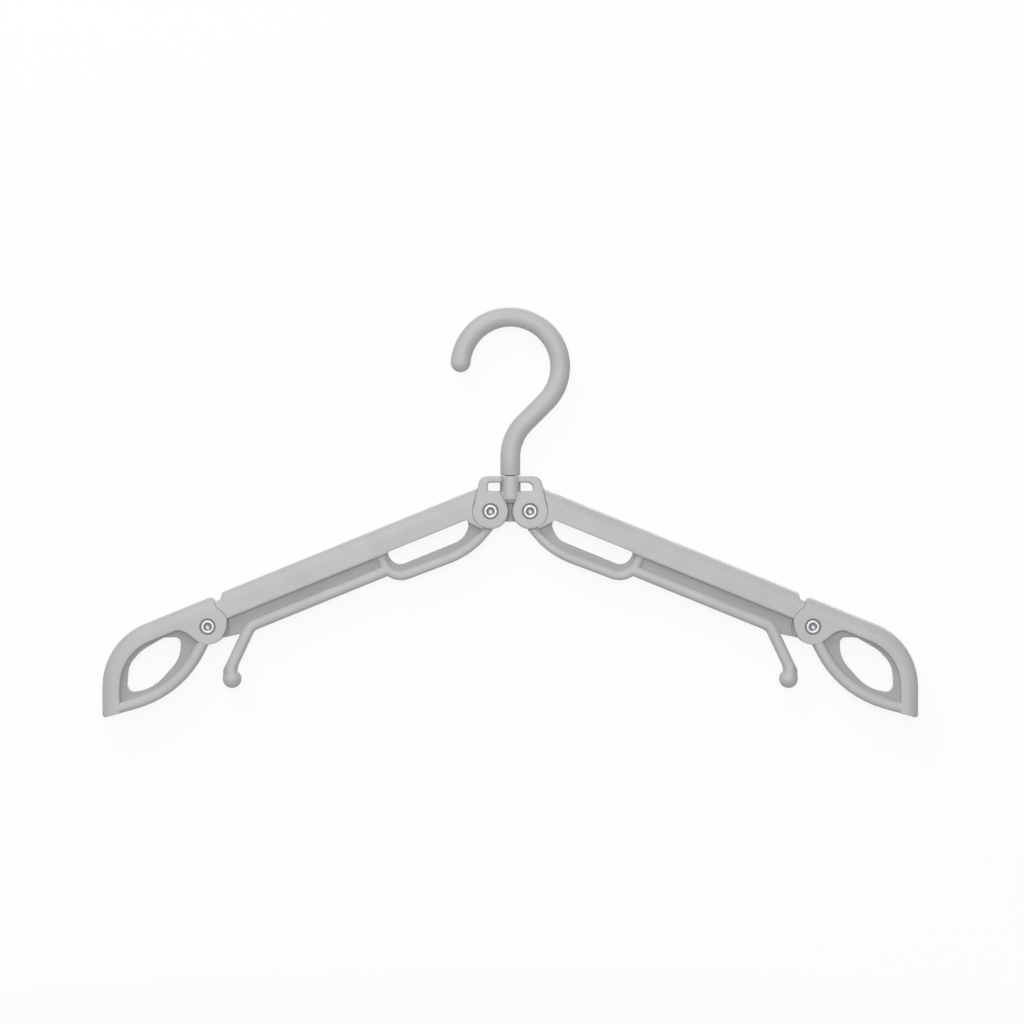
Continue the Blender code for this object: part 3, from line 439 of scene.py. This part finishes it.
rivet_mesh = turned_rivet()
for side in ("left", "right"):
    for joint, body in (("hub", "hub"), ("tip", side + "_tip")):
        node = side + "_" + joint + "_rivet"
        low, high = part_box(node)
        rivet = bpy.data.objects.new(node + "_turned", rivet_mesh)
        bpy.context.scene.collection.objects.link(rivet)
        rivet.location = [(a + b) / 2 for a, b in zip(low, high)]
        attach(rivet, body)
        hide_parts(node)
print("rivet:", len(rivet_mesh.polygons), "faces, four times")

# %% [markdown]
# ## Where it is photographed
# The photograph shows the hanger on plain white, with a soft shadow close to its lower edges, as if it lay
# on a white board. The board here gives a fainter shadow than that. It fades out away from the hanger, so
# that it has no visible border. It is drawn for the camera only, so that it doesn't darken the hanger's
# back. Most of its white is the white world behind it, which shows through, so an arm that swivels to the
# back still shows too. A pale floor lies below.

# %% Board and floor
WHITE = "#FEFEFE"
SHADOW_SHARE = 0.14           # share of the board's look that comes from the light that reaches it
BOARD_GAP = 6.8 * MM          # board behind the middle of the hanger
BOARD_DROP = 90.0 * MM        # the board's middle below the rail
FLOOR_DROP = 360.0 * MM       # floor below the rail
SHEET_SIZE = 1200.0 * MM
EVEN_TO = 320.0 * MM          # a sheet is even this far out and gone by FADED_AT
FADED_AT = 450.0 * MM


def white_sheet(name, centre, turn):
    """A large sheet that fades out away from the hanger and keeps its shadow."""
    form = bmesh.new()
    bmesh.ops.create_grid(form, x_segments=1, y_segments=1, size=SHEET_SIZE / 2)
    mesh = bpy.data.meshes.new(name)
    form.to_mesh(mesh)
    form.free()
    sheet = bpy.data.objects.new(name, mesh)
    bpy.context.scene.collection.objects.link(sheet)
    sheet.location = centre
    sheet.rotation_euler = turn
    material = bpy.data.materials.new(name + "_paint")
    material.use_nodes = True
    tree = material.node_tree
    shader = tree.nodes["Principled BSDF"]
    shader.inputs["Base Color"].default_value = linear(WHITE)
    shader.inputs["Roughness"].default_value = 0.9
    shader.inputs["Specular IOR Level"].default_value = 0.0
    place = add(tree, "ShaderNodeTexCoord").outputs["Object"]
    away = add(tree, "ShaderNodeVectorMath", links={0: place}, operation="LENGTH")
    near = add(tree, "ShaderNodeMapRange",
               {"From Min": EVEN_TO, "From Max": FADED_AT, "To Min": 1.0, "To Max": 0.0},
               {"Value": away.outputs["Value"]}, interpolation_type="SMOOTHSTEP")
    ray = add(tree, "ShaderNodeLightPath").outputs["Is Camera Ray"]
    behind = add(tree, "ShaderNodeNewGeometry").outputs["Backfacing"]
    front = add(tree, "ShaderNodeMath", {0: 1.0}, {1: behind}, operation="SUBTRACT")
    seen = add(tree, "ShaderNodeMath", links={0: ray, 1: front.outputs["Value"]}, operation="MULTIPLY")
    shown = add(tree, "ShaderNodeMath", links={0: seen.outputs["Value"], 1: near.outputs["Result"]},
                operation="MULTIPLY")
    share = add(tree, "ShaderNodeMath", {1: SHADOW_SHARE}, {0: shown.outputs["Value"]}, operation="MULTIPLY")
    clear = add(tree, "ShaderNodeBsdfTransparent")
    mix = add(tree, "ShaderNodeMixShader", links={0: share.outputs["Value"], 1: clear.outputs["BSDF"],
                                                  2: shader.outputs["BSDF"]})
    tree.links.new(mix.outputs["Shader"], tree.nodes["Material Output"].inputs["Surface"])
    mesh.materials.append(material)


white_sheet("board", (0, BOARD_GAP, -BOARD_DROP), (pi / 2, 0, 0))
white_sheet("floor", (0, 0, -FLOOR_DROP), (0, 0, 0))
print("board at", BOARD_GAP / MM, "mm, floor at", -FLOOR_DROP / MM, "mm")

# %% [markdown]
# ## Light and camera
# A soft lamp above the front gives the gentle fall from light top edges to darker undersides. A broad one
# straight ahead lights the faces, another behind keeps the back readable, and the world fills the rest. The
# camera looks straight at the hanger through a long lens from two metres, as the photograph's even outlines
# say.

# %% Lamps and world
CENTRE = (0, 0, -0.09)        # the middle of the hanger, where the lamps look
WORLD_FILL = 0.36             # strength of the world's light on the hanger
WORLD_SEEN = 1.0              # and as the camera, a reflection or a clear thing shows it: white


def soft_lamp(name, size, power, spot):
    """A square area lamp that looks at the hanger: its size in metres, its power in watts, its place."""
    data = bpy.data.lights.new(name, "AREA")
    data.shape = "SQUARE"
    data.size = size
    data.energy = power
    lamp = bpy.data.objects.new(name, data)
    bpy.context.scene.collection.objects.link(lamp)
    lamp.location = spot
    lamp.rotation_euler = (Vector(CENTRE) - Vector(spot)).to_track_quat("-Z", "Y").to_euler()


soft_lamp("key", 0.9, 9.5, (-0.6, -0.9, 1.25))
soft_lamp("front_fill", 1.2, 25.0, (0.0, -2.4, 0.2))
soft_lamp("back_fill", 1.6, 24.0, (0.3, 1.6, 1.3))

world = bpy.data.worlds.new("studio")
world.use_nodes = True
bpy.context.scene.world = world
tree = world.node_tree
light = tree.nodes["Background"]
light.inputs["Color"].default_value = (1, 1, 1, 1)
light.inputs["Strength"].default_value = WORLD_FILL
shown = add(tree, "ShaderNodeBackground", {"Color": (1, 1, 1, 1), "Strength": WORLD_SEEN})
path_of_light = add(tree, "ShaderNodeLightPath")
direct = add(tree, "ShaderNodeMath", links={0: path_of_light.outputs["Is Camera Ray"],
                                            1: path_of_light.outputs["Is Glossy Ray"]}, operation="MAXIMUM")
any_view = add(tree, "ShaderNodeMath", links={0: direct.outputs["Value"],
                                              1: path_of_light.outputs["Is Transmission Ray"]},
               operation="MAXIMUM")
blend = add(tree, "ShaderNodeMixShader", links={0: any_view.outputs["Value"], 1: light.outputs["Background"],
                                                2: shown.outputs["Background"]})
tree.links.new(blend.outputs["Shader"], tree.nodes["World Output"].inputs["Surface"])
bpy.context.scene.view_settings.view_transform = "Standard"
print("three lamps and a white world")

# %% Camera
PIXEL = 0.489 * MM            # one pixel of the photograph, at the hanger
HANG_PIXEL = (510.3, 326.7)   # where the top of the hook's inside is in the photograph
FRAME_PIXELS = 1024
DISTANCE = 2.0                # metres
SENSOR = 36.0                 # millimetres, as the lens is

camera_data = bpy.data.cameras.new("camera")
camera_data.sensor_width = SENSOR
camera_data.lens = SENSOR * DISTANCE / (FRAME_PIXELS * PIXEL)
camera = bpy.data.objects.new("camera", camera_data)
bpy.context.scene.collection.objects.link(camera)
camera.location = ((FRAME_PIXELS / 2 - HANG_PIXEL[0]) * PIXEL, -DISTANCE,
                   (HANG_PIXEL[1] - FRAME_PIXELS / 2) * PIXEL)
camera.rotation_euler = (pi / 2, 0, 0)
bpy.context.scene.camera = camera
print("lens", round(camera_data.lens), "mm")
